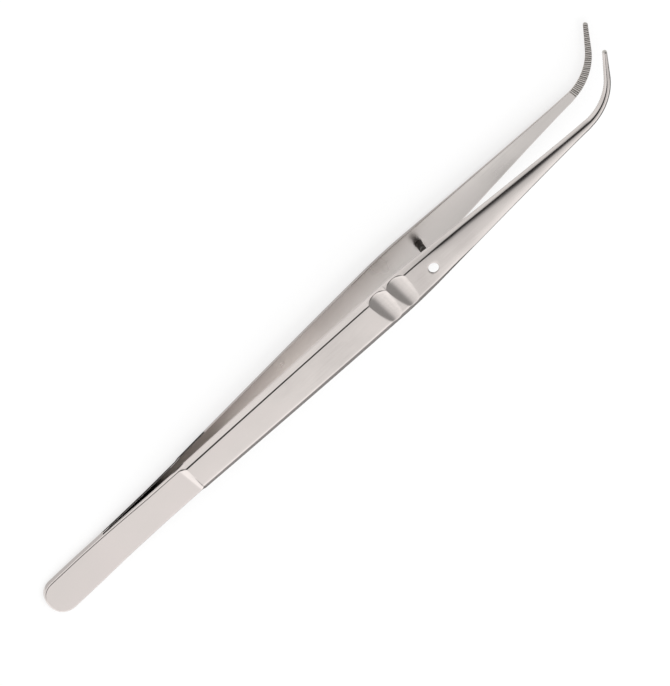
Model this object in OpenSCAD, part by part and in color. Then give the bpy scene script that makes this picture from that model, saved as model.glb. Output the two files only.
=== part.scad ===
// Precision tweezers with curved, serrated tips.
// Two stamped spring-steel arms are welded together at the tail. Each arm is a thin
// flat spring that steps up to a stiffer jaw with finger scallops, and ends in a
// slender curved tip. A guide pin in the lower jaw enters a hole in the upper jaw.
// The arms are drawn about their plane of symmetry, then laid down on the lower arm.

/* [Overall] */
// Length from the rounded tail to the tips
length = 160; // [150:1:175]
// Angle at which each arm leaves the tail's plane
spread_angle = 3.3; // [2.6:0.1:3.8]
// Distance from the tail's end to where the arms start to bend back together
level_x = 75; // [60:1:90]
// Length over which that bend would bring the arms parallel
level_l = 128; // [100:1:160]

/* [Tail] */
// Width of the welded tail
tail_w = 7.9; // [7.4:0.1:9]
// Length over which the arms are welded together
weld_l = 18.3; // [15:0.1:22]
// Radius of the arc across the tail's end
tail_end_r = 5.5; // [5:0.1:9]
// Radius of the tail's corners
tail_corner_r = 3.5; // [1.5:0.1:3.6]
// Distance from the tail's end to where it starts to narrow
neck_x = 11; // [9:0.5:14]
// Diameter of a spot-weld nugget
nugget_d = 3; // [2:0.1:4]
// Thickness of a spot-weld nugget, shared by both arms
nugget_t = 0.8; // [0.4:0.1:1.2]
// Distance from the tail's end to the first nugget
nugget_x = 5.5; // [5:0.1:7]
// Distance between the two nuggets
nugget_gap = 7.5; // [5:0.1:8]

/* [Spring] */
// Thickness of the tail and of the spring leaf
spring_t = 0.85; // [0.7:0.05:1.1]
// Width of the spring leaf
spring_w = 7.1; // [6.4:0.1:7.8]
// Distance from the tail's end to where the leaf's full narrowing is reached
spring_x = 30; // [24:0.5:33]
// Distance from the tail's end to the step up to the jaw
step_x = 38.7; // [34:0.1:46]
// Length of the sloping step
step_l = 1.1; // [0.8:0.1:2]

/* [Jaw] */
// Width of the jaw just past the step
heel_w = 7.35; // [6.6:0.05:8]
// Greatest width of the jaw, between the finger scallops
jaw_w = 8.45; // [7.2:0.05:10]
// Thickness of the jaw just past the step
heel_t = 1.43; // [1.2:0.01:1.6]
// Thickness of the jaw at the finger scallops
jaw_t = 1.65; // [1.4:0.01:2]
// Height of the upright wall along each side, below the chamfer
wall_h = 0.75; // [0.3:0.05:0.85]
// Width of the chamfer along each outer edge
chamfer_w = 1.1; // [0.4:0.05:1.6]
// Width of the chamfer near the tips, where it has narrowed
chamfer_front = 0.3; // [0.2:0.05:0.8]
// Length over which the chamfer narrows, from the start of the taper
chamfer_fade = 16; // [8:1:30]
// Distance from the tail's end to where the jaw starts to taper
taper_x = 98; // [97:0.5:100]
// How hollow the taper's outline is, 1 for straight
taper_hollow = 1.15; // [1:0.05:1.6]
// Distance over which the taper's shoulder is rounded
taper_soft = 8; // [4:0.5:10]
// Distance from the tail's end to where the chamfered section starts to turn round
round_x = 106; // [100:1:112]
// Length over which it turns into a rounded section
rounding_l = 24; // [16:1:40]

/* [Finger scallops] */
// Distance from the tail's end to the ridge between the two scallops
scallop_x = 94.4; // [85:0.1:95]
// Length of each scallop along the jaw
scallop_l = 4.75; // [3.5:0.05:5.5]
// Depth of each scallop at the +Y side, where it is deepest
scallop_h = 0.78; // [0.3:0.01:0.9]
// Angle by which the scallops' floor rises towards the -Y side
scallop_tilt = 5; // [0:0.5:6]

/* [Guide pin] */
// Distance from the tail's end to the guide pin
pin_x = 104.4; // [103:0.1:108]
// Diameter of the guide pin
pin_d = 1.5; // [1:0.05:1.9]
// Height of the guide pin above the lower jaw's inner face
pin_h = 3.2; // [2.6:0.1:3.4]
// Length of the cone on the pin's free end
pin_nose = 0.35; // [0.2:0.05:0.6]
// Radial room between the pin and the hole it enters
pin_room = 0.35; // [0.2:0.05:0.5]
// Depth of the cone that leads the pin into the hole
hole_lead = 1.3; // [0.4:0.1:1.4]
// How far that cone widens the hole's radius at the inner face
hole_spread = 0.8; // [0.3:0.05:1.2]
// Radial interference of the pin in its own bore
pin_press = 0.01; // [0.005:0.005:0.02]

/* [Tip] */
// Radius of the tip's curve
tip_r = 12; // [9:0.5:16]
// Angle through which the tip curves
tip_angle = 55; // [35:1:65]
// Length of the straight end after the curve
tip_l = 5.9; // [3:0.1:8]
// Width where the curve starts
curve_w = 2.05; // [1.6:0.05:2.6]
// Width at the very end
tip_w = 0.95; // [0.7:0.05:1.4]
// Thickness at the very end
tip_t = 0.85; // [0.7:0.05:1.1]
// Pitch of the teeth across the tips' inner faces
tooth_pitch = 0.41; // [0.35:0.01:0.6]
// Depth of the teeth
tooth_h = 0.17; // [0.08:0.01:0.2]

/* [Hidden] */
$fn = 96;
tiny = 0.05;
steel = [0.80, 0.79, 0.78];
steel_dark = [0.62, 0.61, 0.60];

// The tip's path: straight along X, round an arc towards +Y, then straight again.
radian = 180 / PI;
curve_l = tip_r * tip_angle / radian;
curve_x = length - tip_r * sin(tip_angle) - tip_l * cos(tip_angle) - tip_w / 2 * sin(tip_angle);
path_l = curve_x + curve_l + tip_l;
teeth_s = curve_x + 1;
tooth_count = floor((path_l - teeth_s - 0.4) / tooth_pitch);

function clamp(v, low, high) = min(max(v, low), high);
function ease(v) = let (u = clamp(v, 0, 1)) u * u * (3 - 2 * u);
function mix(a, b, u) = a + (b - a) * u;

function on_arc(s) = clamp(s - curve_x, 0, curve_l);
function heading(s) = on_arc(s) / tip_r * radian;
function path(s) = let (
    a = heading(s),
    before = min(s, curve_x),
    after = max(s - curve_x - curve_l, 0)
) [
    before + tip_r * sin(a) + after * cos(a),
    tip_r * (1 - cos(a)) + after * sin(a)
];

// Height of an arm's inner face above the plane of symmetry, at s along the path.
slope = tan(spread_angle);
function past_level(s) = clamp(s - level_x, 0, level_l);
function rise(s) = let (past = past_level(s))
    slope * (clamp(s, weld_l, level_x) - weld_l + past - past * past / (2 * level_l));
function lean(s) = atan(slope * (1 - past_level(s) / level_l));

// How far the jaw's grip has swelled at s, from the step to the ridge between the scallops.
function swell(s) = sin(90 * clamp((s - step_x) / (scallop_x - step_x), 0, 1));

// Half the width of the jaw. Its taper's shoulder is rounded by averaging over a stretch.
function raw_half(s) = let (u = clamp((s - taper_x) / (curve_x - taper_x), 0, 1))
    s < taper_x
        ? mix(heel_w, jaw_w, swell(s)) / 2
        : mix(curve_w, jaw_w, pow(1 - u, taper_hollow)) / 2;
function soft_half(s) = let (reach = taper_soft / 4)
    (raw_half(s - 2 * reach) + raw_half(s - reach) + raw_half(s) + raw_half(s + reach)
        + raw_half(s + 2 * reach)) / 5;
function tip_half(s) = mix(curve_w, tip_w, clamp((s - curve_x) / (path_l - curve_x), 0, 1)) / 2;
function half_w(s) = s > curve_x ? tip_half(s)
    : s < scallop_x ? raw_half(s) : max(soft_half(s), tip_half(s));

// Thickness of the jaw, and how far its section has turned from chamfered to rounded.
function on_step(s) = clamp((s - step_x) / step_l, 0, 1);
function thickness(s) = s < taper_x
    ? mix(spring_t, mix(heel_t, jaw_t, swell(s)), on_step(s))
    : mix(jaw_t, tip_t, pow((s - taper_x) / (path_l - taper_x), 0.8));
scallop_end = scallop_x + scallop_l;
function roundness(s) = ease((s - round_x) / rounding_l);
function chamfer(s) = mix(chamfer_w, chamfer_front, clamp((s - taper_x) / chamfer_fade, 0, 1));

// The jaw's section at s, as [across, up] from the middle of the inner face.
// cut lifts the inner face, for the teeth; pinch draws the section in, for the tip's end.
over_n = 8;
function over(i, a, t, edge_w, edge_h) = let (
    u = (i - 1) / (over_n - 2),
    flat = i == 0 ? [a, t - edge_h] : i == over_n ? [-a, t - edge_h]
        : [mix(a - edge_w, edge_w - a, u), t]
) flat;
function dome(i, a, t) = let (turn = 180 * i / over_n, wall = min(wall_h, t * 0.4))
    [a * cos(turn), wall + (t - wall) * sin(turn)];
function section(s, cut, pinch) = let (
    a = half_w(s) * pinch,
    t = thickness(s) * mix(0.55, 1, pinch),
    edge_w = mix(tiny, min(chamfer(s), a * 0.6), on_step(s)),
    edge_h = mix(tiny, t - min(wall_h, t * 0.5), on_step(s)),
    r = roundness(s)
) concat(
    [[-a, cut], [a, cut]],
    [for (i = [0:over_n]) mix(over(i, a, t, edge_w, edge_h), dome(i, a, t), r)]
);
function ring(s, cut = 0, pinch = 1) = let (p = path(s), a = heading(s), z = rise(s))
    [for (q = section(s, cut, pinch)) [p[0] - q[0] * sin(a), p[1] + q[0] * cos(a), z + q[1]]];

// A closed skin over rings of the same number of points.
module skin(rings) {
    n = len(rings[0]);
    last = len(rings) - 1;
    points = [for (r = rings) for (p = r) p];
    sides = [
        for (i = [0:last - 1]) for (j = [0:n - 1]) let (k = (j + 1) % n)
            for (f = [[i * n + j, i * n + k, (i + 1) * n + j],
                      [i * n + k, (i + 1) * n + k, (i + 1) * n + j]]) f
    ];
    ends = [[for (j = [n - 1:-1:0]) j], [for (j = [0:n - 1]) last * n + j]];
    polyhedron(points, concat(sides, ends));
}

jaw_rings = concat(
    [ring(step_x), ring(step_x + step_l)],
    [for (i = [1:9]) ring(mix(step_x + step_l, scallop_end, i / 9))],
    [for (i = [1:20]) ring(mix(scallop_end, teeth_s - 0.2, i / 20))],
    [for (i = [0:tooth_count - 1]) for (half = [0, 1])
        ring(teeth_s + (i + half / 2) * tooth_pitch, half * tooth_h)],
    [ring(teeth_s + tooth_count * tooth_pitch), ring(path_l - 0.08, 0, 0.85), ring(path_l, 0, 0.5)]
);

// Where a feature stands on an arm: at x, square to the arm's slope there.
module on_arm(x) {
    translate([x, 0, rise(x)]) rotate([0, -lean(x), 0]) children();
}

module finger_scallops() {
    r = (scallop_l * scallop_l / 4 + scallop_h * scallop_h) / (2 * scallop_h);
    for (side = [-1, 1])
        on_arm(scallop_x + side * scallop_l / 2)
            translate([0, jaw_w / 2 - chamfer_w, jaw_t - scallop_h + r])
                rotate([90 - scallop_tilt, 0, 0])
                    cylinder(r = r, h = 3 * jaw_w, center = true);
}

module jaw(bore_d, lead) {
    difference() {
        skin(jaw_rings);
        finger_scallops();
        on_arm(pin_x) {
            cylinder(d = bore_d, h = 4 * jaw_t, center = true);
            if (lead > 0) translate([0, 0, -tiny])
                cylinder(d1 = bore_d + 2 * hole_spread, d2 = bore_d, h = lead + tiny);
        }
    }
}

// The flat strip that the tail and the spring are cut from, seen from above.
module strip_plan(h) {
    corner_r = min(tail_corner_r, tail_w / 2 - tiny);
    corner_y = tail_w / 2 - corner_r;
    inset = tail_end_r - corner_r;
    corner_x = tail_end_r - sqrt(inset * inset - corner_y * corner_y);
    wedge = 2 * [tail_end_r - corner_x, corner_y];
    for (side = [-1, 1]) translate([corner_x, side * corner_y]) cylinder(r = corner_r, h = h);
    translate([tail_end_r, 0]) intersection() {
        cylinder(r = tail_end_r, h = h);
        linear_extrude(height = h)
            polygon([[0, 0], [-wedge[0], wedge[1]], [-wedge[0], -wedge[1]]]);
    }
    linear_extrude(height = h) polygon([
        [corner_x, tail_w / 2], [neck_x, tail_w / 2], [spring_x, spring_w / 2],
        [step_x, spring_w / 2], [step_x, -spring_w / 2], [spring_x, -spring_w / 2],
        [neck_x, -tail_w / 2], [corner_x, -tail_w / 2]
    ]);
}

// The part of the strip whose side view is the given outline in X and Z.
module strip(side_view) {
    intersection() {
        strip_plan(rise(step_x) + 2 * spring_t);
        translate([0, tail_w, 0]) rotate([90, 0, 0])
            linear_extrude(height = 2 * tail_w) polygon(side_view);
    }
}

module nuggets(d, t) {
    for (i = [0, 1])
        translate([nugget_x + i * nugget_gap, 0, 0]) cylinder(d = d, h = t, center = true);
}

module tail() {
    difference() {
        strip([[-1, 0], [weld_l, 0], [weld_l, spring_t], [-1, spring_t]]);
        nuggets(nugget_d, nugget_t);
    }
}

module spring() {
    strip([
        [weld_l, 0], [step_x, rise(step_x)],
        [step_x, rise(step_x) + spring_t], [weld_l, spring_t]
    ]);
}

// Lay the tweezers down on the lower arm: they touch at the tail's end and under the jaw.
function lie(x) = atan((rise(x) + thickness(x) - spring_t) / x);
rest_tilt = max([for (x = [step_x + step_l:0.5:curve_x]) lie(x)]);
module lay_down() {
    rotate([0, -rest_tilt, 0]) translate([0, 0, spring_t]) children();
}

module upper_tail() {
    color(steel) lay_down() tail();
}

module lower_tail() {
    color(steel) lay_down() mirror([0, 0, 1]) tail();
}

module upper_spring() {
    color(steel) lay_down() spring();
}

module lower_spring() {
    color(steel) lay_down() mirror([0, 0, 1]) spring();
}

module upper_jaw() {
    color(steel) lay_down() jaw(pin_d + 2 * pin_room, hole_lead);
}

module lower_jaw() {
    color(steel) lay_down() mirror([0, 0, 1]) jaw(pin_d, 0);
}

module guide_pin() {
    r = pin_d / 2 + pin_press;
    nose_r = r - pin_nose * 0.6;
    color(steel_dark) lay_down() mirror([0, 0, 1]) on_arm(pin_x)
        rotate_extrude() polygon([
            [0, jaw_foot], [r, jaw_foot], [r, pin_nose - pin_h], [nose_r, -pin_h], [0, -pin_h]
        ]);
}

module weld_nuggets() {
    color(steel_dark) lay_down() nuggets(nugget_d, nugget_t);
}

// The pin ends flush with the jaw's outer face.
jaw_foot = thickness(pin_x);

upper_tail();
lower_tail();
upper_spring();
lower_spring();
upper_jaw();
lower_jaw();
guide_pin();
weld_nuggets();
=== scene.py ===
# Looks for the precision tweezers, built around the imported CAD frame.
# Each arm is one continuous mesh from the welded tail to the curved tip. Lengths below are millimetres
# in the arms' plane of symmetry, and place() lays them down into the frame in metres.
import math

import bmesh
import bpy
import numpy as np
from mathutils import Matrix, Vector


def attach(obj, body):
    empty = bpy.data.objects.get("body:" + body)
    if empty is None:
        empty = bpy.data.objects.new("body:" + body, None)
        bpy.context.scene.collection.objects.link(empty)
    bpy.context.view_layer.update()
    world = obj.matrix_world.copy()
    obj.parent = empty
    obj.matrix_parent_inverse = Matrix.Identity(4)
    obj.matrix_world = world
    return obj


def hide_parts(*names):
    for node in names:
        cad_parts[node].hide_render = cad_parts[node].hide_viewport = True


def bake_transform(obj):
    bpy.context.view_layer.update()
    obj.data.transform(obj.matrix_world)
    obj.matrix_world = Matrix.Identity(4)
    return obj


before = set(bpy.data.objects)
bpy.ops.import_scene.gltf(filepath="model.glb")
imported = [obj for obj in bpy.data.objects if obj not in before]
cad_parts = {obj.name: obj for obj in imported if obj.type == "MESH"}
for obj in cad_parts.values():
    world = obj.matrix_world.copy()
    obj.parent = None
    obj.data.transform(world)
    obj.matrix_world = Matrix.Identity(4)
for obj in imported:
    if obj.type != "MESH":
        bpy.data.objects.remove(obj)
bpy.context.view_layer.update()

# ---- sizes, the same as in the CAD source -------------------------------------------
LENGTH, SPREAD, LEVEL_X, LEVEL_L = 160.0, 3.3, 75.0, 128.0
TAIL_W, WELD_L, END_R, CORNER_R, NECK_X = 7.9, 18.3, 5.5, 3.5, 11.0
SPRING_T, SPRING_W, SPRING_X, STEP_X, STEP_L = 0.85, 7.1, 30.0, 38.7, 1.1
HEEL_W, JAW_W, HEEL_T, JAW_T, WALL_H = 7.35, 8.45, 1.43, 1.65, 0.75
CHAMFER_W, CHAMFER_FRONT, CHAMFER_FADE = 1.1, 0.3, 16.0
TAPER_X, TAPER_HOLLOW, TAPER_SOFT, ROUND_X = 98.0, 1.15, 8.0, 106.0
SCALLOP_X, SCALLOP_L, SCALLOP_H, SCALLOP_TILT = 94.4, 4.75, 0.78, 5.0
PIN_X, PIN_D, PIN_H, PIN_ROOM, HOLE_LEAD, HOLE_SPREAD = 104.4, 1.5, 3.2, 0.35, 1.3, 0.8
TIP_R, TIP_ANGLE, TIP_L, CURVE_W, TIP_W, TIP_T = 12.0, 55.0, 5.9, 2.05, 0.95, 0.85
TOOTH_PITCH, TOOTH_H = 0.41, 0.17

# ---- fine shape that only the visual model has ----------------------------------------
EDGE_R = 0.32          # rounding of the strip's outer edges
INNER_R = 0.02         # rounding of the spring leaf's inner edges, in front of the weld
JAW_INNER_R = 0.02     # rounding of the jaw's inner edges
BEND_SOFT = 4.0        # length over which the leaf bends away from the tail
WALL_SOFT = 0.1        # how far the wall turns into the chamfer
CREASE_SOFT = 0.28     # how far the chamfer turns into the outer face
CROWN = 0.035          # swell of the outer face
HOLLOW = 0.1           # how far the jaw's inner face is hollowed along its middle
FACE_SHIFT = 0.26      # how far the outer face lies towards +Y between the two chamfers
FRONT_SWELL = 0.085, 0.15, 0.3  # outer face's fall to its edges over its half width: first, bend, tip
SWELL_X, SWELL_L = ROUND_X - 5, 11         # where the first fall begins, and over what length it comes
GROW_X, GROW_L = ROUND_X + 6, 18           # the same for its growth towards the bend
TIP_GROW_BACK, TIP_GROW_L = 4, 10          # the same for the tip's: how far behind the bend it begins
DOME = 3.4, 2.1        # how late the fall comes: 2 is an even arc, more stays flat for longer
DOME_X, DOME_L = ROUND_X + 4, 16           # where the first of these turns into the second
HOLLOW_X, HOLLOW_END, HOLLOW_SOFT = 24, 138, 16  # where the hollow begins and ends, and how softly
TIP_ROUND = 0.45       # length of the tip that is rounded off
HOLE_ROUND = 0.05      # rounding of the hole's rim
SHARP = 50             # edges that turn by more degrees than this are shaded sharp
SKEW = 1.3, 0.85       # length of the step at its +Y side and at its -Y side, over STEP_L
SKEW_BACK = 5          # how far behind the step the rings come back to straight
TOOTH_TOP = 0.4        # where a tooth's flat top ends, in pitches
TOOTH_UNEVEN = 0.12    # how much the tops differ from tooth to tooth, in pitches
TOOTH_LOW = 0.7        # where the groove after it is deepest, in pitches
FACE_N, ARC_N = 24, 5  # columns across a face, points round an edge

TURN = math.radians(TIP_ANGLE)
CURVE_L = TIP_R * TURN
CURVE_X = LENGTH - TIP_R * math.sin(TURN) - TIP_L * math.cos(TURN) - TIP_W / 2 * math.sin(TURN)
PATH_L = CURVE_X + CURVE_L + TIP_L
TEETH_S = CURVE_X + 1
TOOTH_COUNT = int((PATH_L - TEETH_S - 0.4) / TOOTH_PITCH)
SLOPE = math.tan(math.radians(SPREAD))
SCALLOP_END = SCALLOP_X + SCALLOP_L
GROOVE_R = (SCALLOP_L ** 2 / 4 + SCALLOP_H ** 2) / (2 * SCALLOP_H)


def clamp(v, low=0.0, high=1.0):
    return min(max(v, low), high)


def ease(v):
    u = clamp(v)
    return u * u * (3 - 2 * u)


def mix(a, b, u):
    return a + (b - a) * u


def put(name, data):
    """A new object in the scene."""
    ob = bpy.data.objects.new(name, data)
    bpy.context.scene.collection.objects.link(ob)
    return ob


def heading(s):
    return clamp(s - CURVE_X, 0, CURVE_L) / TIP_R


def path(s):
    a, before, after = heading(s), min(s, CURVE_X), max(s - CURVE_X - CURVE_L, 0)
    return (before + TIP_R * math.sin(a) + after * math.cos(a),
            TIP_R * (1 - math.cos(a)) + after * math.sin(a))


def rise(s):
    past = clamp(s - LEVEL_X, 0, LEVEL_L)
    bend = max(BEND_SOFT - abs(s - WELD_L), 0) ** 2 / (4 * BEND_SOFT)
    return SLOPE * (clamp(s, WELD_L, LEVEL_X) - WELD_L + past - past * past / (2 * LEVEL_L) + bend)


def lean(s):
    return math.atan(SLOPE * (1 - clamp(s - LEVEL_X, 0, LEVEL_L) / LEVEL_L))


def swell(s):
    return math.sin(math.pi / 2 * clamp((s - STEP_X) / (SCALLOP_X - STEP_X)))


def raw_half(s):
    if s < TAPER_X:
        return mix(HEEL_W, JAW_W, swell(s)) / 2
    return mix(CURVE_W, JAW_W, (1 - clamp((s - TAPER_X) / (CURVE_X - TAPER_X))) ** TAPER_HOLLOW) / 2


def strip_half(s):
    return mix(TAIL_W, SPRING_W, clamp((s - NECK_X) / (SPRING_X - NECK_X))) / 2


def half_w(s):
    tip = mix(CURVE_W, TIP_W, clamp((s - CURVE_X) / (PATH_L - CURVE_X))) / 2
    if s > CURVE_X:
        end = clamp((s - PATH_L + TIP_ROUND) / TIP_ROUND)
        return tip * math.sqrt(max(1 - end ** 2.4 * 0.86, 0))
    if s < STEP_X:
        return strip_half(s)
    if s < SCALLOP_X:
        return mix(strip_half(s), raw_half(s), ease((s - STEP_X) / STEP_L))
    reach = TAPER_SOFT / 4
    return max(sum(raw_half(s + i * reach) for i in range(-2, 3)) / 5, tip)


def on_step(s):
    return clamp((s - STEP_X) / STEP_L)


def thickness(s):
    if s < TAPER_X:
        grown = on_step(s) ** 1.5
        return mix(SPRING_T, mix(HEEL_T, JAW_T, swell(s)), grown)
    t = mix(JAW_T, TIP_T, ((s - TAPER_X) / (PATH_L - TAPER_X)) ** 0.8)
    end = clamp((s - PATH_L + TIP_ROUND) / TIP_ROUND)
    return t * (1 - 0.5 * end ** 2.4)


def groove(s, y):
    """Height of the finger scallops' floor above the inner face, or far above the jaw."""
    low = 9.0
    for side in (-1, 1):
        d = s - SCALLOP_X - side * SCALLOP_L / 2
        if abs(d) < SCALLOP_L / 2:
            past = JAW_W / 2 - CHAMFER_W - y
            floor = JAW_T - SCALLOP_H + past * math.tan(math.radians(SCALLOP_TILT))
            low = min(low, floor + GROOVE_R - math.sqrt(GROOVE_R ** 2 - d * d))
    return low


def corner(a, b, c, soft_in, soft_out):
    """Points that round the corner b between a and c."""
    p0 = b + (a - b) / np.linalg.norm(a - b) * soft_in
    p2 = b + (c - b) / np.linalg.norm(c - b) * soft_out
    return [(1 - u) ** 2 * p0 + 2 * u * (1 - u) * b + u * u * p2 for u in np.linspace(0, 1, ARC_N)]


def side_profile(s, a, full_t, cut, side):
    """One side's section from the inner face to the outer face, as (across, up)."""
    front = clamp((s - TAPER_X) / CHAMFER_FADE)
    drop = swell_front(s, a)
    slant = mix(CHAMFER_W - side * FACE_SHIFT, CHAMFER_FRONT, front)
    slant = mix(0.586 * EDGE_R, min(slant, a * 0.3), on_step(s))
    t = min(full_t - drop, groove(s, side * (a - slant)))
    on = on_step(s)
    k = 0.586 * EDGE_R
    wall = mix(full_t - k, min(WALL_H, full_t * mix(0.5, 0.4, front)), on)
    slant *= clamp((t - wall) / max(full_t - drop - wall, 1e-6), 0.05, 1)
    soft_w, soft_c = mix(0.414 * EDGE_R, WALL_SOFT, on), mix(0.414 * EDGE_R, CREASE_SOFT, on)
    if t < full_t - drop:
        soft_c = min(soft_c, 0.05 + 0.3 * (full_t - t))
    reach = math.hypot(slant, t - wall)
    soft_w, soft_c = min(soft_w, reach * 0.48), min(soft_c, reach * 0.48)
    crease = a - slant
    inward = t if t < full_t - drop else face_height(s, full_t, crease - soft_c, crease)
    r = mix(INNER_R, JAW_INNER_R, ease((s - WELD_L - 6) / 16)) * ease((s - WELD_L) / 0.5)
    turns = (0, math.pi / 4, math.pi / 2)
    foot = [np.array((a - r * (1 - math.sin(u)), cut + r * (1 - math.cos(u)))) for u in turns]
    b, c, d = np.array((a, wall)), np.array((crease, t)), np.array((crease - soft_c, inward))
    curve = corner(np.array((a, 0)), b, c, soft_w, soft_w)
    curve += corner(b, c, d, soft_c, np.linalg.norm(d - c))
    return foot, curve, crease


def swell_front(s, a):
    """How far the outer face falls from its middle to its edges."""
    first, bend, tip = FRONT_SWELL
    fall = first * ease((s - SWELL_X) / SWELL_L)
    fall += (bend - first) * clamp((s - GROW_X) / GROW_L)
    fall += (tip - bend) * clamp((s - CURVE_X + TIP_GROW_BACK) / TIP_GROW_L)
    return a * fall


def face_height(s, full_t, y, crease):
    """Height of the outer face at y, between creases that lie at +-crease."""
    u, drop = min(abs(y) / crease, 1), swell_front(s, half_w(s))
    power = mix(*DOME, clamp((s - DOME_X) / DOME_L))
    return full_t - drop + CROWN * on_step(s) * (1 - u * u) + drop * (1 - u ** power)


def section(s, cut=0.0):
    """The arm's section at s: inner edge, outer curve from side to side, inner edge."""
    a, full_t = half_w(s), thickness(s)
    foot, plus, crease_plus = side_profile(s, a, full_t, cut, 1)
    _, minus, crease_minus = side_profile(s, a, full_t, cut, -1)
    drop = swell_front(s, a)
    (left, z0), (right, z1) = plus[-1], minus[-1]
    face = []
    for i in range(1, FACE_N):
        y = mix(left, -right, i / FACE_N)
        z = face_height(s, full_t, y, crease_plus if y > 0 else crease_minus)
        if z0 < full_t - drop - 0.001 or z1 < full_t - drop - 0.001:
            z = min(z, groove(s, y), mix(z0, z1, i / FACE_N) + 0.2)
        face.append(np.array((y, z)))
    return foot, plus + face + [p * (-1, 1) for p in reversed(minus)]


def skewed(s, y, half):
    """The step is long at its +Y side and short at its -Y side: where s lies at y."""
    short = clamp(0.5 - 0.5 * y / max(half, 0.1))
    scale = mix(*SKEW, short)
    front = STEP_X + STEP_L
    if s >= front:
        return s
    if s >= STEP_X:
        return front - (front - s) * scale
    return s + (1 - scale) * STEP_L * ease((s - STEP_X + SKEW_BACK) / SKEW_BACK)


def ring(s, cut=0.0):
    foot, curve = section(s, cut)
    half = half_w(s)
    hollow = HOLLOW * ease((s - HOLLOW_X) / HOLLOW_SOFT) * ease((HOLLOW_END - s) / HOLLOW_SOFT)
    across = [2 * i / FACE_N - 1 for i in range(1, FACE_N)]
    floor = [np.array((foot[0][0] * u, cut + hollow * (1 - u ** 2))) for u in across]
    points = foot + curve + [p * (-1, 1) for p in reversed(foot)] + floor
    outer = range(len(foot), len(foot) + len(curve))
    (px, py), a = path(s), heading(s)
    out = []
    for i, (y, z) in enumerate(points):
        if s < STEP_X + STEP_L:
            x = skewed(s, y, half)
            welded = s < WELD_L + 0.05 and i not in outer
            out.append((x, y, z if welded else rise(x) + z))
        else:
            out.append((px - y * math.sin(a), py + y * math.cos(a), rise(s) + z))
    return out


def end_ring(x, half, nx, ny):
    """A ring at the tail's rounded end, whose edge follows the outline's own direction."""
    foot, side, _ = side_profile(x, half, SPRING_T, 0.0, 0)
    plus = [(x - nx * (half - y), half - ny * (half - y), z) for y, z in foot + side]
    (fx, fy, fz), (bx, by, bz) = plus[-1], plus[0]
    face = [(fx, fy * (1 - 2 * i / FACE_N), fz) for i in range(1, FACE_N)]
    floor = [(bx, by * (2 * i / FACE_N - 1), bz) for i in range(1, FACE_N)]
    return plus + face + [(q[0], -q[1], q[2]) for q in reversed(plus)] + floor


def stations():
    """(s, cut, toothed) for every ring after the tail's rounded end, close together where the
    shape turns quickly, and the number of the first ring of the block round the hole."""
    s = [4.2, 5.5, 7, 8.5, 10, 11, 12.5, 14, 15.5, 17, 17.9, 18.3, 18.5, 18.7, 18.9, 19.4]
    s += list(np.linspace(20.4, STEP_X - 1, 16)) + [STEP_X - 0.4]
    s += [STEP_X + STEP_L * u for u in (0, 0.12, 0.28, 0.46, 0.64, 0.8, 0.92, 0.985, 1.0)]
    s += [STEP_X + STEP_L + 0.05, STEP_X + STEP_L + 0.4]
    s += list(np.linspace(STEP_X + 3, SCALLOP_END - 2 * SCALLOP_L - 1, 22))
    for i in (-1, 0):
        start = SCALLOP_X + i * SCALLOP_L
        s += [start - 0.05, start + 0.012] + [start + SCALLOP_L * u for u in np.linspace(0.04, 0.96, 15)]
        s += [start + SCALLOP_L - 0.012]
    s += [SCALLOP_END + 0.05] + list(np.linspace(SCALLOP_END + 0.5, PIN_X - BLOCK - 0.4, 4))
    first = len(s)
    s += list(np.linspace(PIN_X - BLOCK, PIN_X + BLOCK, BLOCK_N + 1))
    s += list(np.linspace(PIN_X + BLOCK + 0.6, TEETH_S - 0.12, 42))
    rows = [(v, 0.0, False) for v in s]
    for i in range(TOOTH_COUNT):
        at = TEETH_S + i * TOOTH_PITCH
        top = TOOTH_TOP + TOOTH_UNEVEN * math.sin(2.4 * i)
        rows += [(at, 0.0, True), (at + top * TOOTH_PITCH, 0.0, True)]
        rows += [(at + TOOTH_LOW * TOOTH_PITCH, TOOTH_H, True)]
    rows += [(TEETH_S + TOOTH_COUNT * TOOTH_PITCH, 0.0, False)]
    ends = (0.05, 0.3, 0.5, 0.68, 0.82, 0.92, 0.98, 1.0)
    rows += [(PATH_L - TIP_ROUND * (1 - u), 0.0, False) for u in ends]
    rows = [r for i, r in enumerate(rows) if i == 0 or r[0] > rows[i - 1][0] + 1e-6]
    return rows, first


TIP_ROWS = 6               # rings in front of the last one that belong to the ground end of the tip
BLOCK, BLOCK_N = 2.45, 18  # half the length of the block of cells round the hole, and its cells
BLOCK_FROM = (FACE_N - BLOCK_N) // 2  # the block's first column on a face, and its last
BLOCK_TO = (FACE_N + BLOCK_N) // 2


def arm_rings():
    """The rings from the tail's end to the tip, whether a tooth's cell starts at each, and
    the number of the first ring of the block round the hole."""
    rings = []
    cy = TAIL_W / 2 - CORNER_R
    cx = END_R - math.sqrt((END_R - CORNER_R) ** 2 - cy * cy)
    split = math.atan2(cy, END_R - cx)
    for u in np.linspace(0, split, 3)[:-1]:
        nx, ny = -math.cos(u), math.sin(u)
        rings.append(end_ring(END_R * (1 + nx), END_R * ny, nx, ny))
    for u in np.linspace(split, math.pi / 2, 15):
        nx, ny = -math.cos(u), math.sin(u)
        rings.append(end_ring(cx + CORNER_R * nx, cy + CORNER_R * ny, nx, ny))
    rows, first = stations()
    first += len(rings)
    toothed = [False] * len(rings) + [tooth for _, _, tooth in rows]
    rings += [ring(s, cut) for s, cut, _ in rows]
    return rings, toothed, first


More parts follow.
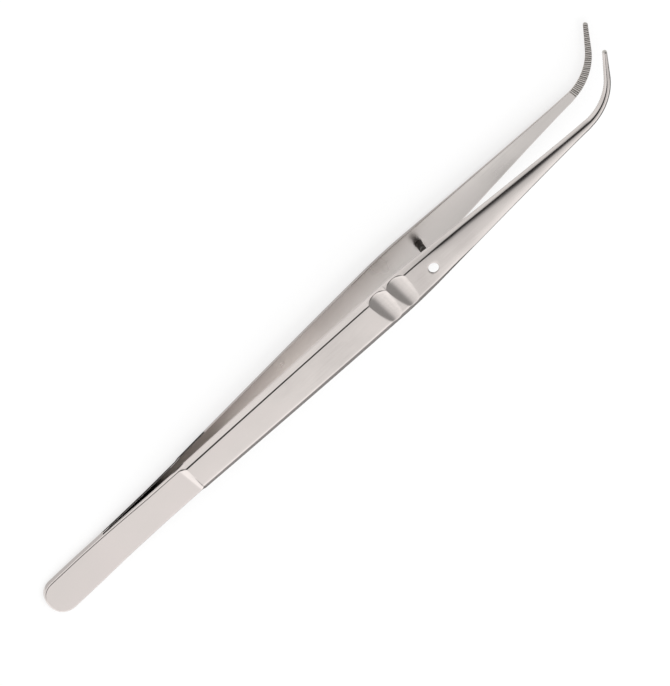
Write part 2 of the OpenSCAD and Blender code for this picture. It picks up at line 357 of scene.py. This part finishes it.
def block_edge(first, m, face0):
    """The points round the block on the face whose columns start at face0."""
    edge = [(first + i, BLOCK_FROM) for i in range(BLOCK_N)]
    edge += [(first + BLOCK_N, BLOCK_FROM + i) for i in range(BLOCK_N)]
    edge += [(first + BLOCK_N - i, BLOCK_TO) for i in range(BLOCK_N)]
    edge += [(first, BLOCK_TO - i) for i in range(BLOCK_N)]
    return [k * m + (face0 + i) % m for k, i in edge]


def height_on(rings, first, face0, x, y):
    """Height at (x, y), within the block, of the face whose columns start at face0."""
    k = first
    while k < first + BLOCK_N - 1 and rings[k + 1][face0][0] < x:
        k += 1
    values = []
    for points in rings[k:k + 2]:
        line = sorted(points[(face0 + i) % len(points)][1:] for i in range(FACE_N + 1))
        values.append(np.interp(y, *zip(*line)))
    x0, x1 = rings[k][face0][0], rings[k + 1][face0][0]
    return mix(*values, clamp((x - x0) / (x1 - x0)))


def rim(hole_r, lead):
    """A hole's rim as (radius, depth): a small rounding, or the cone that leads the pin in."""
    if not lead:
        return [(hole_r + HOLE_ROUND, 0), (hole_r + 0.015, 0.015), (hole_r, HOLE_ROUND)]
    mouth = hole_r + HOLE_SPREAD
    return [(mouth, 0), (mouth - 0.03, 0.01), (mix(mouth, hole_r, 0.5), lead / 2), (hole_r, lead)]


def arm_mesh(name, hole_r, lead, mirrored):
    """One arm's whole skin, with a round hole and the lead-in cone on its inner side."""
    rings, toothed, first = arm_rings()
    side_n = 3 + 2 * ARC_N
    m = len(rings[0])
    top0 = side_n - 1
    bottom0 = 2 * side_n + (FACE_N - 1) - 1
    pts = [p for r in rings for p in r]
    faces, flat = [], []
    for k in range(len(rings) - 1):
        for j in range(m):
            in_block = any(BLOCK_FROM <= j - face0 < BLOCK_TO for face0 in (top0, bottom0))
            if first <= k < first + BLOCK_N and in_block:
                continue
            q = (j + 1) % m
            faces.append((k * m + j, k * m + q, (k + 1) * m + q, (k + 1) * m + j))
            flat.append(toothed[k] and (j >= bottom0 or j in (0, bottom0 - 1)))
    last = (len(rings) - 1) * m
    faces.append(tuple(last + j for j in range(m)))
    flat.append(False)
    ground = {i for i, f in enumerate(faces) if min(f) >= last - TIP_ROWS * m}
    inner_faces = {i for i, f in enumerate(faces[:-1])
                   if all(v % m >= bottom0 or v % m == 0 for v in f)}

    # From the block's edge in to each mouth of the hole, then through it.
    mouths = []
    for face0, up in ((top0, thickness(PIN_X)), (bottom0, 0.0)):
        hx = PIN_X - up * math.sin(lean(PIN_X))
        previous = block_edge(first, m, face0)
        edge = [pts[i] for i in previous]
        aim = [math.atan2(y, x - hx) for x, y, _ in edge]
        inside = 1 if up else -1
        profile = rim(hole_r, 0 if up else lead)
        mouth = profile[0][0]
        steps = [(0.35, mouth, 0), (0.7, mouth, 0)] + [(1, r, drop) for r, drop in profile]
        for share, r, drop in steps:
            current = []
            for (edge_x, edge_y, _), a in zip(edge, aim):
                x, y = hx + r * math.cos(a), r * math.sin(a)
                if share < 1:
                    x, y = mix(edge_x, x, share), mix(edge_y, y, share)
                pts.append((x, y, height_on(rings, first, face0, x, y) - inside * drop))
                current.append(len(pts) - 1)
            for i in range(len(current)):
                q = (i + 1) % len(current)
                if not up and drop == 0:
                    inner_faces.add(len(faces))
                faces.append((previous[i], previous[q], current[q], current[i]))
                flat.append(False)
            previous = current
        mouths.append([i for _, i in sorted(zip(aim, previous))])
    outer, inner = mouths
    for i in range(len(outer)):
        q = (i + 1) % len(outer)
        faces.append((outer[i], outer[q], inner[q], inner[i]))
        flat.append(False)
    if mirrored:
        pts = [(x, y, -z) for x, y, z in pts]
    return solid(name, pts, faces, flat, inner_faces, ground | teeth_cut(pts, faces, flat))


# ---- laying down, as in the CAD source ------------------------------------------------
REST = max(math.atan((rise(x) + thickness(x) - SPRING_T) / x)
           for x in np.arange(STEP_X + STEP_L, CURVE_X, 0.5))


def place(p):
    x, y, z = p[0], p[1], p[2] + SPRING_T
    c, s = math.cos(REST), math.sin(REST)
    return ((x * c - z * s) / 1000, y / 1000, (x * s + z * c) / 1000)


def teeth_cut(pts, faces, flat):
    """The faces that go down into a tooth's groove: those with corners at two depths."""
    found = set()
    for i, f in enumerate(faces):
        if flat[i]:
            depth = [abs(pts[v][2]) for v in f]
            if max(depth) - min(depth) > TOOTH_H * 0.6:
                found.add(i)
    return found


def solid(name, pts, faces, flat=None, second=(), third=()):
    """A closed smooth-shaded mesh from points in arm millimetres."""
    mesh = bpy.data.meshes.new(name)
    mesh.from_pydata([Vector(p) for p in pts], [], faces)
    bm = bmesh.new()
    bm.from_mesh(mesh)
    bm.faces.ensure_lookup_table()
    for i, f in enumerate(bm.faces):
        f.smooth = not (flat and flat[i])
        f.material_index = 2 if i in third else int(i in second)
    bmesh.ops.remove_doubles(bm, verts=bm.verts, dist=1e-4)
    bmesh.ops.dissolve_degenerate(bm, edges=bm.edges, dist=1e-5)
    bmesh.ops.recalc_face_normals(bm, faces=bm.faces)
    for e in bm.edges:
        if e.is_manifold and e.calc_face_angle() > math.radians(SHARP):
            e.smooth = False
    for v in bm.verts:
        v.co = place(v.co)
    bm.to_mesh(mesh)
    bm.free()
    ob = put(name, mesh)
    shade = ob.modifiers.new("weighted", "WEIGHTED_NORMAL")
    shade.mode, shade.weight, shade.keep_sharp = "FACE_AREA", 50, True
    return ob


def lathe(name, profile, centre, tilt, up, count=48):
    """A turned piece: profile is (radius, height) from one pole to the other."""
    pts, faces, rows = [], [], []
    for r, h in profile:
        if r < 1e-6:
            rows.append([len(pts)])
            pts.append((0, 0, h))
        else:
            rows.append([len(pts) + i for i in range(count)])
            turns = [2 * math.pi * i / count for i in range(count)]
            pts += [(r * math.cos(turn), r * math.sin(turn), h) for turn in turns]
    for a, b in zip(rows, rows[1:]):
        for i in range(count):
            q = (i + 1) % count
            face = [a[i % len(a)], a[q % len(a)], b[q % len(b)], b[i % len(b)]]
            faces.append(tuple(dict.fromkeys(face)))
    c, s = math.cos(tilt), math.sin(tilt)
    pts = [(centre[0] + x * c - z * s, y, centre[1] + (x * s + z * c)) for x, y, z in pts]
    pts = [(x, y, z * up) for x, y, z in pts]
    return solid(name, pts, faces)


upper = arm_mesh("arm_upper", PIN_D / 2 + PIN_ROOM, HOLE_LEAD, False)
lower = arm_mesh("arm_lower", PIN_D / 2 + 0.02, 0, True)

r, foot, nose, top = PIN_D / 2, thickness(PIN_X), 0.35, -PIN_H
# The pin from its domed free end, across the gap and into its hole in the lower arm.
pin = lathe("guide_pin_turned", [
    (0, top), (0.28, top), (0.42, top + 0.015), (r - 0.21, top + 0.06), (r - 0.1, top + 0.18),
    (r - 0.03, top + nose - 0.05), (r, top + nose + 0.05),
    (r, -1.6), (r, -0.2), (r, -0.02), (r, 0.4), (r, foot - 0.1),
    (r - 0.02, foot - 0.03), (r - 0.09, foot + 0.012), (0.35, foot + 0.03), (0, foot + 0.034),
], (PIN_X, rise(PIN_X)), lean(PIN_X), -1)

# ---- materials -------------------------------------------------------------------------
GRAIN_SCALE = 90, 2600, 2600  # grain lines in a metre, along and across the arm
GRAIN_SHARE = 0.35            # weight of the grain in the tone, beside 1 for the clouding
CLOUD_SCALE = 95.0            # clouds in a metre
JAW_DARKEN_X = 0.04, 0.115          # where the base colour darkens towards the jaw, metres from the tail's end
GAP_SHADE_X = 0.019, 0.046      # where the painted shade between the two leaves fades out


def material(name):
    mat = bpy.data.materials.new(name)
    mat.use_nodes = True
    nodes, links = mat.node_tree.nodes, mat.node_tree.links
    return mat, nodes, links, nodes["Principled BSDF"]


def add(nodes, kind, **values):
    node = nodes.new(kind)
    for key, value in values.items():
        if hasattr(node, key):
            setattr(node, key, value)
        else:
            node.inputs[key].default_value = value
    return node


def remap(nodes, links, value, span, to, **kind):
    """The output of a node that turns a value over span into one over to."""
    node = add(nodes, "ShaderNodeMapRange", **kind)
    for socket, v in zip(("From Min", "From Max", "To Min", "To Max"), (*span, *to)):
        node.inputs[socket].default_value = v
    links.new(value, node.inputs["Value"])
    return node.outputs["Result"]


def maths(nodes, links, operation, *values):
    """The output of a math node on numbers and other nodes' outputs."""
    node = add(nodes, "ShaderNodeMath", operation=operation)
    for socket, v in zip(node.inputs, values):
        if isinstance(v, float):
            socket.default_value = v
        else:
            links.new(v, socket)
    return node.outputs[0]


def ramp(nodes, stops):
    node = nodes.new("ShaderNodeValToRGB")
    while len(node.color_ramp.elements) < len(stops):
        node.color_ramp.elements.new(0.5)
    for e, (at, c) in zip(node.color_ramp.elements, stops):
        e.position, e.color = at, (*c, 1)
    return node


def steel(name, light, dark, rough, grain, jaw_darken=0.0, leaf_gap_shade=None):
    """Satin steel: fine grain along the arm, faint clouding, and duller handled patches.
    The argument after grain is how much darker the base colour grows towards the jaw; the last is the
    colour of painted shade between the two leaves, darkest at the weld's end."""
    mat, nodes, links, shader = material(name)
    where = nodes.new("ShaderNodeTexCoord")
    lie = add(nodes, "ShaderNodeMapping", vector_type="POINT")
    lie.inputs["Rotation"].default_value = (0, REST, 0)
    links.new(where.outputs["Object"], lie.inputs["Vector"])
    along = nodes.new("ShaderNodeMapping")
    along.inputs["Scale"].default_value = GRAIN_SCALE
    links.new(lie.outputs["Vector"], along.inputs["Vector"])
    lines = add(nodes, "ShaderNodeTexNoise", Scale=1.0, Detail=5.0, Roughness=0.6)
    links.new(along.outputs["Vector"], lines.inputs["Vector"])
    cloud = add(nodes, "ShaderNodeTexNoise", Scale=CLOUD_SCALE, Detail=3.0, Roughness=0.5)
    links.new(lie.outputs["Vector"], cloud.inputs["Vector"])
    level = maths(nodes, links, "MULTIPLY_ADD", lines.outputs["Fac"], GRAIN_SHARE, cloud.outputs["Fac"])
    apart = nodes.new("ShaderNodeSeparateXYZ")
    links.new(lie.outputs["Vector"], apart.inputs[0])
    # The base colour grows darker towards the jaw.
    jaw_darkening = remap(nodes, links, apart.outputs["X"], JAW_DARKEN_X, (0.0, jaw_darken), interpolation_type="SMOOTHSTEP")
    level = maths(nodes, links, "SUBTRACT", level, jaw_darkening)
    stops = [(0.0 if not leaf_gap_shade else 0.2, tuple(0.84 * c for c in dark)), (0.45, dark), (0.9, light)]
    # Painted shade between the two leaves: the inner faces turn near black behind the crotch and
    # brighten towards the jaw.
    if leaf_gap_shade:
        stops.insert(0, (0.0, leaf_gap_shade))
        deep = remap(nodes, links, apart.outputs["X"], GAP_SHADE_X, (1.2, 0.0),
                     interpolation_type="SMOOTHSTEP")
        level = maths(nodes, links, "SUBTRACT", level, deep)
    paint = ramp(nodes, stops)
    links.new(level, paint.inputs["Fac"])
    links.new(paint.outputs["Color"], shader.inputs["Base Color"])
    dull = remap(nodes, links, cloud.outputs["Fac"], (0.3, 0.75), (rough * 0.88, rough * 1.14),
                 clamp=True)
    links.new(dull, shader.inputs["Roughness"])
    bump = add(nodes, "ShaderNodeBump", Strength=grain, Distance=0.00002)
    links.new(lines.outputs["Fac"], bump.inputs["Height"])
    links.new(bump.outputs["Normal"], shader.inputs["Normal"])
    shader.inputs["Metallic"].default_value = 1.0
    return mat


arm_steel = steel("arm_steel_satin", (0.725, 0.665, 0.642), (0.685, 0.637, 0.612), 0.19, 0.12, 0.5)
# The inner faces carry painted shade between the two leaves, near black at the weld's end.
inner_steel = steel("arm_steel_inner", (0.72, 0.675, 0.653), (0.685, 0.647, 0.622), 0.3, 0.12, 0.2,
                    leaf_gap_shade=(0.12, 0.11, 0.1))
# Darker, rougher steel on the teeth's cut grooves and the ground tip end; in the grooves the darker
# colour is painted shade.
cut_steel_with_groove_shade = steel("arm_steel_cut_with_groove_shade", (0.56, 0.54, 0.51), (0.42, 0.4, 0.375), 0.36, 0.12)
pin_steel = steel("pin_steel_dark", (0.12, 0.112, 0.105), (0.07, 0.066, 0.06), 0.3, 0.2)
weld_steel = steel("weld_steel_fused", (0.55, 0.5, 0.45), (0.3, 0.28, 0.3), 0.45, 0.3)

for ob in (upper, lower):
    ob.data.materials.append(arm_steel)
    ob.data.materials.append(inner_steel)
    ob.data.materials.append(cut_steel_with_groove_shade)
pin.data.materials.append(pin_steel)
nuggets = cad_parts["weld_nuggets"]
nuggets.data.materials.clear()
nuggets.data.materials.append(weld_steel)

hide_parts("upper_tail", "upper_spring", "upper_jaw")
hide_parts("lower_tail", "lower_spring", "lower_jaw")
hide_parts("guide_pin")
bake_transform(upper)
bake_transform(lower)
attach(pin, "lower_arm")

# ---- camera, floor and light -----------------------------------------------------------
PICTURE_W, PICTURE_H = 670, 686
VIEW_AZ, VIEW_EL, VIEW_ROLL = 171.8271, 60.2496, 142.4838  # degrees
PX_PER_MM = 4.98262              # scale at the centre
CENTRE = np.array((0.08, 0.003, 0.006))
CENTRE_PX = 328.8857, 328.3937   # where the centre shows in the picture
NEARNESS = 0.073358              # the tool's length over the camera's distance
az, el, roll = (math.radians(v) for v in (VIEW_AZ, VIEW_EL, VIEW_ROLL))
view = np.array((math.sin(az) * math.cos(el), -math.cos(az) * math.cos(el), math.sin(el)))
right = np.cross((0, 0, 1), view)
right /= np.linalg.norm(right)
upward = np.cross(view, right)
side_axis = right * math.cos(roll) + upward * math.sin(roll)
top_axis = -right * math.sin(roll) + upward * math.cos(roll)
distance = LENGTH / 1000 / NEARNESS
off_x, off_y = (PICTURE_W - 1) / 2 - CENTRE_PX[0], (PICTURE_H - 1) / 2 - CENTRE_PX[1]
target = CENTRE + (side_axis * off_x - top_axis * off_y) / PX_PER_MM / 1000
camera_data = bpy.data.cameras.new("camera")
camera = put("camera", camera_data)
camera_data.sensor_width = 36
camera_data.lens = PX_PER_MM * 1000 * distance * camera_data.sensor_width / PICTURE_H
turned = Matrix((side_axis, top_axis, view)).transposed().to_4x4()
camera.matrix_world = Matrix.Translation(Vector(target + view * distance)) @ turned
camera_data.clip_start, camera_data.clip_end = 0.05, 50
bpy.context.scene.camera = camera

CARD_Z = 0.0001  # height of the cards over the floor


def shown_to_gloss_only(ob):
    ob.visible_camera = ob.visible_diffuse = ob.visible_shadow = ob.visible_transmission = False


def glow_material(name):
    mat, nodes, links, shader = material(name)
    nodes.remove(shader)
    glow = nodes.new("ShaderNodeEmission")
    links.new(glow.outputs[0], nodes["Material Output"].inputs["Surface"])
    return mat, nodes, links, glow


def lobe(nodes, links, where, direction, low, high):
    """1 where the direction is nearer than high (a cosine), fading to 0 at low."""
    dot = add(nodes, "ShaderNodeVectorMath", operation="DOT_PRODUCT")
    links.new(where, dot.inputs[0])
    dot.inputs[1].default_value = Vector(direction).normalized()
    return remap(nodes, links, dot.outputs["Value"], (low, high), (0, 1),
                 interpolation_type="SMOOTHSTEP")


def tent(radius, base, lobes):
    """A light tent that only reflections see: brighter and darker zones of plain cloth."""
    mesh = bpy.data.meshes.new("tent")
    bm = bmesh.new()
    bmesh.ops.create_icosphere(bm, subdivisions=5, radius=radius)
    bm.to_mesh(mesh)
    bm.free()
    ob = put("tent", mesh)
    ob.location = (0.08, 0, 0)
    mat, nodes, links, glow = glow_material("tent_cloth")
    where = nodes.new("ShaderNodeTexCoord")
    unit = add(nodes, "ShaderNodeVectorMath", operation="NORMALIZE")
    links.new(where.outputs["Object"], unit.inputs[0])
    level = base
    for direction, low, high, factor in lobes:
        on = lobe(nodes, links, unit.outputs[0], direction, low, high)
        change = remap(nodes, links, on, (0, 1), (1, factor))
        level = maths(nodes, links, "MULTIPLY", level, change)
    links.new(level, glow.inputs["Strength"])
    mesh.materials.append(mat)
    shown_to_gloss_only(ob)


def card(name, xs, ys, strength):
    """A flat glowing card just above the floor that only reflections see: a painted reflection of the
    floor's light and shade.
    """
    mesh = bpy.data.meshes.new(name)
    corners = [(xs[0], ys[0]), (xs[1], ys[0]), (xs[1], ys[1]), (xs[0], ys[1])]
    mesh.from_pydata([(x, y, CARD_Z) for x, y in corners], [], [(0, 1, 2, 3)])
    ob = put(name, mesh)
    mat, *_, glow = glow_material(name)
    glow.inputs["Strength"].default_value = strength
    mesh.materials.append(mat)
    shown_to_gloss_only(ob)


def lamp(name, centre, aim, size, power, glossy=True):
    data = bpy.data.lights.new(name, "AREA")
    data.shape, data.size, data.size_y, data.energy = "RECTANGLE", size[0], size[1], power
    ob = put(name, data)
    ob.location = centre
    ob.rotation_mode = "QUATERNION"
    ob.rotation_quaternion = (Vector(centre) - Vector(aim)).to_track_quat("Z", "Y")
    ob.visible_camera = False
    ob.visible_glossy = glossy


mesh = bpy.data.meshes.new("floor")
mesh.from_pydata([(-6, -6, 0), (6, -6, 0), (6, 6, 0), (-6, 6, 0)], [], [(0, 1, 2, 3)])
floor = put("floor", mesh)
floor.location = (0, 0, -0.00002)
mat, nodes, links, shader = material("floor_paper")
shader.inputs["Base Color"].default_value = (0.97, 0.97, 0.97, 1)
shader.inputs["Roughness"].default_value = 0.9
shader.inputs["Specular IOR Level"].default_value = 0.0
rays = nodes.new("ShaderNodeLightPath")
white, paper = nodes.new("ShaderNodeEmission"), nodes.new("ShaderNodeMixShader")
# To the camera and to reflections the paper partly glows, so that it shows near white.
seen = maths(nodes, links, "MAXIMUM", rays.outputs["Is Camera Ray"], rays.outputs["Is Glossy Ray"])
seen = maths(nodes, links, "MAXIMUM", seen, rays.outputs["Is Transmission Ray"])
links.new(maths(nodes, links, "MULTIPLY", seen, 0.6), paper.inputs["Fac"])
links.new(shader.outputs[0], paper.inputs[1])
links.new(white.outputs[0], paper.inputs[2])
links.new(paper.outputs[0], nodes["Material Output"].inputs["Surface"])
mesh.materials.append(mat)

world = bpy.data.worlds.new("studio")
bpy.context.scene.world = world
world.use_nodes = True
world.node_tree.nodes["Background"].inputs["Color"].default_value = (0.86, 0.86, 0.86, 1)
world.node_tree.nodes["Background"].inputs["Strength"].default_value = 1.0

# The tent's lobes: direction, the cosines where it fades in and is full, and its factor.
tent(3.0, 0.975, [
    ((-0.2, 0.31, 0.93), 0.845, 0.965, 0.06),
    ((-0.55, 0.22, 0.8), 0.9, 0.975, 0.1),
    ((-0.74, 0.03, 0.67), 0.91, 0.98, 0.25),
    ((0.8, 0.2, 0.5), 0.15, 0.62, 0.36),
    ((-1, -0.3, 0.2), 0.56, 0.9, 1.35),
    ((0, -1, 0.1), 0.5, 0.95, 1.32),
    ((0, 1, 0.25), 0.5, 0.85, 1.16),
])
# The cards: painted reflections of the floor, glowing sheets that set how bright the floor shows in each
# stretch of the arms' sides; the dark ones are painted shadow that stands in for the floor's contact
# shadow.
for name, x0, x1, y0, y1, strength in (
    ("foot_card_tail", -0.004, 0.018, 0.0038, 0.0058, 0.68),
    ("foot_card_leaf", 0.018, 0.047, 0.0034, 0.0052, 0.06),
    ("foot_card_jaw", 0.047, 0.142, 0.0038, 0.0058, 0.6),
    ("back_card_leaf", 0.018, 0.05, -0.009, -0.0042, 0.35),
    ("back_card_rear", 0.05, 0.078, -0.009, -0.0042, 1.65),
    ("back_card_mid", 0.078, 0.1, -0.009, -0.0042, 1.3),
    ("back_card_front", 0.1, 0.142, -0.009, -0.0042, 1.05),
    ("floor_card_near", -0.02, 0.18, -0.04, -0.009, 0.12),
    ("floor_card_far", -0.5, 0.7, -0.9, -0.04, 0.36),
):
    card(name, (x0, x1), (y0, y1), strength)
lamp("top_soft", (0.08, 0, 2.0), (0.08, 0, 0.005), (1.6, 1.6), 12, glossy=False)

bpy.context.scene.view_settings.view_transform = "Standard"
